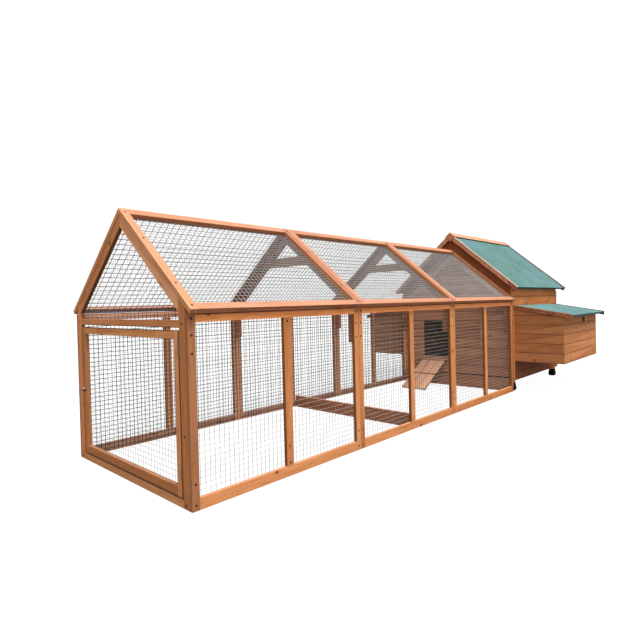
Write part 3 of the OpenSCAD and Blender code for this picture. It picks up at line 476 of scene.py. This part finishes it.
USE = {
    "wall_stiles": WZ, "wall_rails": WY, "run_roof_bars": WS, "run_roof_rails": WSY, "front_posts": WP, "front_rails": WFR,
    "gable_rafters": WRFL, "run_door_stiles": WD, "run_door_rails": WDR, "truss_rafters": WRF, "truss_collars": wood("timber_collars", "X", "Y", tone=(0.62, 0.76, 1.15)),
    "truss_legs": WZy, "cross_boards": WX, "house_posts": INZ, "floor_rails": INX, "house_floor": INF, "front_wall": BF,
    "side_walls": BS, "rear_wall": BR, "corner_boards": WC, "house_roof_frame": INX, "roof_decks": INY, "roof_felts": FELT,
    "rake_fascias": FA, "ridge_caps": RC, "nest_ends": BE, "nest_outer_walls": BN, "nest_floors": INF, "nest_dividers": INX,
    "right_lid_deck": INY, "right_lid_felt": LFELT, "right_lid_fascias": FL, "right_lid_hinge_leaves": BRASS,
    "left_lid_deck": INY, "left_lid_felt": LFELT, "left_lid_fascias": FL, "left_lid_hinge_leaves": BRASS,
    "lid_hinge_wall_leaves": STAINED, "right_hasp": STRAP, "left_hasp": STRAP, "right_hasp_hinge": ZINC, "left_hasp_hinge": ZINC,
    "hasp_staples": RUST, "fixed_hinge_leaves": DULL, "run_door_hinge_leaves": DULL, "run_door_latch": DARKM,
    # ramp: undersides and ends of boards and cleats darkened as painted shade
    "ramp_boards": wood("ramp_board", "Y", "Z", tone=(1.03, 1.20, 1.72), planks=(-0.188 - 0.125, 0.25 / 3), painted_underside_shade=(9.0, 0.95, 0.95)), "ramp_cleats": wood("ramp_cleat", "X", "Y", tone=(0.80, 0.74, 0.72), painted_underside_shade=(9.0, 0.8, 0.8)),
    "ramp_hinge_leaves": ZINC, "pop_hole_sill": wood("sill_wood", "X", "Z", tone=(1.06, 1.04, 1.02)),
    "pop_door_panel": INY, "pop_door_guides": INX, "perches": INX, "droppings_tray": TRAYM, "screws": RUST,
    "foot_caps": BLACK,
}
BEVEL = {k: 0.0012 for k in USE if not any(w in k for w in ("felt", "hinge", "hasp", "screws", "latch", "staple", "tray"))}
BEVEL.update({k: 0.0003 for k in USE if any(w in k for w in ("hinge", "hasp", "staple"))})
for name, mat in USE.items():
    o = N[name]
    o.data.materials.clear()
    o.data.materials.append(mat)
    if name in BEVEL:
        w = o.modifiers.new("weld", "WELD")
        w.merge_threshold = 0.00005
        b = o.modifiers.new("arris", "BEVEL")
        b.width = BEVEL[name]
        b.segments = 2
        b.limit_method = "ANGLE"
        b.angle_limit = math.radians(35)
        b.use_clamp_overlap = True


# ---------------------------------------------------------------- geometry helpers
class M:
    """Collects vertices and faces for one piece."""

    def __init__(self):
        self.v, self.f = [], []

    def ring(self, c, a, b, r, n, turn=0.0):
        i = len(self.v)
        for k in range(n):
            t = turn + 2 * math.pi * k / n
            self.v.append(c + a * (math.cos(t) * r) + b * (math.sin(t) * r))
        return list(range(i, i + n))

    def skin(self, r0, r1):
        n = len(r0)
        for k in range(n):
            self.f.append((r0[k], r0[(k + 1) % n], r1[(k + 1) % n], r1[k]))

    def rod(self, p, q, r, n=6):
        p, q = Vector(p), Vector(q)
        d = (q - p).normalized()
        a = d.orthogonal().normalized()
        b = d.cross(a)
        r0, r1 = self.ring(p, a, b, r, n), self.ring(q, a, b, r, n)
        self.skin(r0, r1)
        self.f.append(tuple(reversed(r0)))
        self.f.append(tuple(r1))

    def obj(self, name, mat, body, smooth=False, shift=True):
        me = bpy.data.meshes.new(name)
        me.from_pydata([tuple(x) for x in self.v], [], self.f)
        if shift:
            me.transform(Matrix.Translation((0, -YM, 0)))
        me.update()
        me.materials.append(mat)
        if smooth:
            me.shade_smooth()
        o = bpy.data.objects.new(name, me)
        scene.collection.objects.link(o)
        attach(o, body)
        return o


PITCH, ROOF_PITCH = 0.0254, 0.0357


def lines(lo, hi, pitch=PITCH):
    n = int((hi - lo - 0.002) / pitch)
    s = (hi - lo - n * pitch) / 2
    return [lo + s + k * pitch for k in range(n + 1)]


def sheet_y(b):
    lo = T + 0.0026 if b == 0 else bay0(b) + 0.006
    hi = RUN_L - T - 0.001 if b == 2 else bay1(b) - 0.006
    return lo, hi


# welded mesh: side walls, uprights nearest the frame, lengthwise wires welded to their inner side
# the second layer is welded a little into the first
# the far (left) side takes the near-black copy of the wire as painted shade
for s, side, wmat, mat, WR, rp in ((1, "right", WIREN, WIRE, 0.00082, PITCH), (-1, "left", WIRE_SHADED_COPY, WIRE_SHADED_COPY, 0.00170, ROOF_PITCH)):
    W2 = WR * 2.6 + 0.0001
    walls, roof = M(), M()
    along = M() if s > 0 else walls
    for b in range(3):
        y0, y1 = sheet_y(b)
        z0, z1 = 0.008, WALL_H - 0.008
        xo, xi = s * (INN - WR - 0.0001), s * (INN - W2)
        for y in lines(y0, y1):
            walls.rod((xo, y, z0), (xo, y, z1), WR)
        for z in lines(z0, z1):
            along.rod((xi, y0, z), (xi, y1, z), WR)
        s0, s1 = 0.0205, ROOF_S - 0.0105
        RR = 0.00115 if s > 0 else WR
        qo, qi = ROOF_T + RR + 0.0001, ROOF_T + RR * 2.6 + 0.0001

        def at(u, y, q):
            x, z = sp(RIDGE, RA, u, q)
            return (s * x, y, z)
        for y in lines(y0, y1, rp):
            roof.rod(at(s0, y, qo), at(s1, y, qo), RR)
        for u in lines(s0, s1, rp):
            roof.rod(at(u, y0, qi), at(u, y1, qi), RR)
    o = walls.obj("wall_mesh_wires_" + side, wmat, "root")
    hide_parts("wall_meshes")
    if s > 0:
        o = along.obj("wall_mesh_lengthwise_right", WIREL, "root")
        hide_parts("wall_meshes")
    o = roof.obj("roof_mesh_wires_" + side, mat, "root")
    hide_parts("run_roof_meshes")

WR = 0.00065
W2 = WR * 2.6 + 0.0001
gable = M()
gz0 = 0.752
gtop = lambda x: zat(RIDGE, RA, abs(x), ROOF_T + 0.014)
for x in lines(-0.520, 0.520):
    gable.rod((x, T + WR + 0.0001, gz0), (x, T + WR + 0.0001, gtop(x)), WR)
z = gz0 + 0.012
while z < gtop(0.02):
    xr = min(0.520, (RIDGE - z - (ROOF_T + 0.014) / math.cos(RA)) / math.tan(RA))
    if xr > 0.01:
        gable.rod((-xr, T + W2, z), (xr, T + W2, z), WR)
    z += PITCH
o = gable.obj("gable_mesh_wires", WIRE, "root")
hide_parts("gable_mesh")

door = M()
for x in lines(-0.485, 0.485):
    door.rod((x, T + WR + 0.0001, 0.054), (x, T + WR + 0.0001, 0.722), WR)
for z in lines(0.054, 0.722):
    door.rod((-0.485, T + W2, z), (0.485, T + W2, z), WR)
o = door.obj("door_mesh_wires", WIREN, "run_door")
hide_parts("run_door_mesh")

# ---------------------------------------------------------------- countersunk cross-head screws
CUT = M()


def screw(c, n):
    c, n = Vector(c), Vector(n)
    a = n.orthogonal().normalized()
    b = n.cross(a)
    turn = random.uniform(0, math.pi / 2)
    k = 16
    star = lambda r0, r1: [r0 if i % 4 == 0 else (r1 if i % 4 == 2 else (r0 + r1) * 0.42) for i in range(k)]
    prof = [([0.0056] * k, 0.0), ([0.0054] * k, 0.00010), ([0.0037] * k, 0.00012), ([0.00335] * k, 0.00024), ([0.0029] * k, 0.00050), ([0.0020] * k, 0.00058),
            (star(0.0017, 0.0006), 0.00056), (star(0.0013, 0.0004), -0.0006)]
    prev = None
    for rr, h in prof:
        i0 = len(CUT.v)
        for i in range(k):
            t = turn + 2 * math.pi * i / k
            CUT.v.append(c + n * h + a * (math.cos(t) * rr[i]) + b * (math.sin(t) * rr[i]))
        ring = list(range(i0, i0 + k))
        if prev:
            CUT.skin(prev, ring)
        else:
            CUT.f.append(tuple(reversed(ring)))
        prev = ring
    CUT.v.append(c - n * 0.0007)
    for i in range(k):
        CUT.f.append((prev[i], prev[(i + 1) % k], len(CUT.v) - 1))


for sd in (1, -1):
    for b in range(3):
        for y in (bay0(b) + STILE / 2, bay1(b) - STILE / 2):
            for z in (0.024, 0.110, 0.640, 0.716, 0.784):
                screw((sd * HW, y, z), (sd, 0, 0))
        for z in (0.066, WALL_H - TOPR - 0.016):
            screw((sd * HW, (b + 0.5) * BAY, z), (sd, 0, 0))
        for y in ((-0.004 if b == 0 else bay0(b)) + ROOF_M / 2, bay1(b) - ROOF_M / 2):
            for u in (0.034, 0.260, 0.600, ROOF_S - 0.026):
                x, z = sp(RIDGE, RA, u, 0)
                screw((sd * x, y, z), (sd * math.sin(RA), 0, math.cos(RA)))
    for z in (0.018, 0.300, 0.762):
        screw((sd * (0.501 + INN) / 2, 0, z), (0, -1, 0))
o = CUT.obj("cross_head_screws", RUST, "root")
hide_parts("screws")

# ---------------------------------------------------------------- black foot caps, bulged round the post
CAPS = M()


def square(cx, cy, z, half, r, n=5):
    i0 = len(CAPS.v)
    for q in range(4):
        sx, sy = ((1, 1), (-1, 1), (-1, -1), (1, -1))[q]
        for k in range(n):
            t = math.pi / 2 * (q + k / (n - 1))
            CAPS.v.append(Vector((cx + sx * (half - r) + r * math.cos(t), cy + sy * (half - r) + r * math.sin(t), z)))
    return list(range(i0, i0 + 4 * n))


for sd in (1, -1):
    for py in (HY0 + 0.012 + 0.016, HY1 - 0.012 - 0.061):
        cx, cy = sd * (HW - 0.012 - 0.0225), py + 0.0225
        outer = [(0.0, 0.0225, 0.008), (0.0015, 0.0255, 0.010), (0.008, 0.0298, 0.013), (0.018, 0.0323, 0.015), (0.028, 0.0325, 0.015),
                 (0.038, 0.0306, 0.013), (0.046, 0.0276, 0.010), (0.0500, 0.0266, 0.007), (0.0515, 0.0270, 0.007), (0.0565, 0.0270, 0.007),
                 (0.0580, 0.0262, 0.006), (0.0690, 0.0256, 0.006), (0.0705, 0.0247, 0.005), (0.0705, 0.0229, 0.002), (0.0050, 0.0229, 0.002)]
        rings = [square(cx, cy, z, h, r) for z, h, r in outer]
        CAPS.f.append(tuple(reversed(rings[0])))
        for r0, r1 in zip(rings, rings[1:]):
            CAPS.skin(r0, r1)
        CAPS.f.append(tuple(rings[-1]))
o = CAPS.obj("rubber_foot_caps", BLACK, "root", smooth=False)
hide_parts("foot_caps")

# ---------------------------------------------------------------- the door's turn knob and its inner cam
LX, LZ, LAT = -0.478, 0.392, math.radians(32)
EX, EZ, EY = Vector((1, 0, 0)), Vector((0, 0, 1)), Vector((0, -1, 0))


def lathe(m, c, prof, n=32, axis=EY, a=EX, b=EZ):
    prev = None
    for r, h in prof:
        ring = m.ring(Vector(c) + axis * h, a, b, r, n)
        if prev:
            m.skin(prev, ring)
        else:
            m.f.append(tuple(reversed(ring)))
        prev = ring
    m.f.append(tuple(prev))


rose = M()
lathe(rose, (LX, 0, LZ), [(0.0110, 0.0005), (0.0118, 0.0008), (0.0120, 0.0014), (0.0120, 0.0030), (0.0116, 0.0038), (0.0106, 0.0043), (0.0092, 0.0046), (0.0082, 0.0044), (0.0078, 0.0040), (0.0050, 0.0040)])
lathe(rose, (LX, 0, LZ), [(0.0030, -0.0268), (0.0030, -0.0262), (0.0030, 0.0002), (0.0030, 0.0042)], 20)
cam = []
for k in range(9):
    t = math.pi * k / 8
    cam.append((0.0060 * math.cos(t + math.pi), -0.0320 + 0.0060 * math.sin(t + math.pi)))
for k in range(15):
    t = -0.92 + (math.pi + 1.84) * k / 14
    cam.append((0.0075 * math.cos(t), 0.0075 * math.sin(t)))
cam.reverse()
r0 = len(rose.v)
for h, inset in ((-0.0244, 0.94), (-0.0247, 1.0), (-0.0267, 1.0), (-0.0270, 0.94)):
    for x, z in cam:
        rose.v.append(Vector((LX + x * inset, -h, LZ + z * (inset if z > -0.02 else 0.5 + 0.5 * inset))))
n = len(cam)
rg = [list(range(r0 + i * n, r0 + (i + 1) * n)) for i in range(4)]
rose.f.append(tuple(rg[0]))
for a_, b_ in zip(rg, rg[1:]):
    rose.skin(list(reversed(a_)), list(reversed(b_)))
rose.f.append(tuple(reversed(rg[3])))
o = rose.obj("knob_rose_and_cam", DARKM, "door_button")
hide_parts("run_door_latch")
grip = M()
prev = None
for h, sc in ((0.0041, 0.94), (0.0047, 1.0), (0.0062, 0.97), (0.0100, 0.88), (0.0124, 0.84), (0.0135, 0.72), (0.0139, 0.5)):
    ring = []
    for k in range(28):
        t = 2 * math.pi * k / 28
        hl, hw_ = 0.0130 * (0.5 + 0.5 * sc), 0.0045 * sc
        u = hw_ * math.cos(t) + (hl if math.cos(t) > 0 else -hl)
        v = hw_ * math.sin(t) * (1.0 - 0.16 * (1 - abs(math.cos(t))))
        x, z = u * math.cos(LAT) - v * math.sin(LAT), u * math.sin(LAT) + v * math.cos(LAT)
        ring.append(len(grip.v))
        grip.v.append(Vector((LX + x, -h, LZ + z)))
    if prev:
        grip.skin(prev, ring)
    else:
        grip.f.append(tuple(reversed(ring)))
    prev = ring
grip.f.append(tuple(prev))
o = grip.obj("knob_grip", ZINC, "door_button")
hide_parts("run_door_latch")

# ---------------------------------------------------------------- stage and light
fl = bpy.data.meshes.new("floor")
fl.from_pydata([(-60, -60, 0), (60, -60, 0), (60, 60, 0), (-60, 60, 0)], [], [(0, 1, 2, 3)])
floor = bpy.data.objects.new("floor", fl)
floor.location.z = -0.0006
scene.collection.objects.link(floor)
g = G("pale_floor")
seen = g.math("MULTIPLY", g.n("ShaderNodeLightPath").outputs[0], 0.965)            # a light table to the eye only
fx, fy, fz = g.xyz(g.n("ShaderNodeTexCoord").outputs["Object"])
inx = g.math("MULTIPLY", g.map(fx, -0.76, -0.72, 0.0, 1.0), g.map(fx, 0.28, 0.34, 1.0, 0.0))
iny = g.math("MULTIPLY", g.map(fy, HY0 - YM, HY0 - YM + 0.05, 0.0, 1.0), g.map(fy, HY0 - YM + 0.9, HY0 - YM + 1.1, 1.0, 0.0))
seen = g.math("MULTIPLY", seen, g.math("SUBTRACT", 1.0, g.math("MULTIPLY", inx, iny)))    # painted shadow: no glow under the house
fl.materials.append(g.set(Base_Color=(0.14, 0.14, 0.14, 1), Roughness=0.9, Specular_IOR_Level=0.0,
                          Emission_Color=(1, 1, 1, 1), Emission_Strength=seen))

w = bpy.data.worlds.new("studio")
scene.world = w
w.use_nodes = True
bg = w.node_tree.nodes["Background"]
bg.inputs[0].default_value = (1.0, 1.0, 1.0, 1)
lp = w.node_tree.nodes.new("ShaderNodeLightPath")          # white to the eye, weaker as a fill
both = w.node_tree.nodes.new("ShaderNodeMath")
both.operation, both.use_clamp = "ADD", True
w.node_tree.links.new(lp.outputs["Is Camera Ray"], both.inputs[0])
both.inputs[1].default_value = 0.0
lev = w.node_tree.nodes.new("ShaderNodeMapRange")
lev.inputs["To Min"].default_value, lev.inputs["To Max"].default_value = 0.30, 1.05
w.node_tree.links.new(both.outputs[0], lev.inputs["Value"])
w.node_tree.links.new(lev.outputs[0], bg.inputs[1])


def sun(name, energy, angle, travel, colour):
    d = bpy.data.lights.new(name, "SUN")
    d.energy, d.angle, d.color = energy, math.radians(angle), colour
    o = bpy.data.objects.new(name, d)
    scene.collection.objects.link(o)
    o.rotation_euler = Vector(travel).to_track_quat("-Z", "Y").to_euler()


sun("key", 4.2, 34, (-0.42, 0.0, -0.907), (1.0, 0.99, 0.975))
sun("fill", 1.95, 70, (-0.74, 0.67, -0.06), (1.0, 0.98, 0.95))
scene.view_settings.view_transform = "Standard"
scene.view_settings.look = "None"
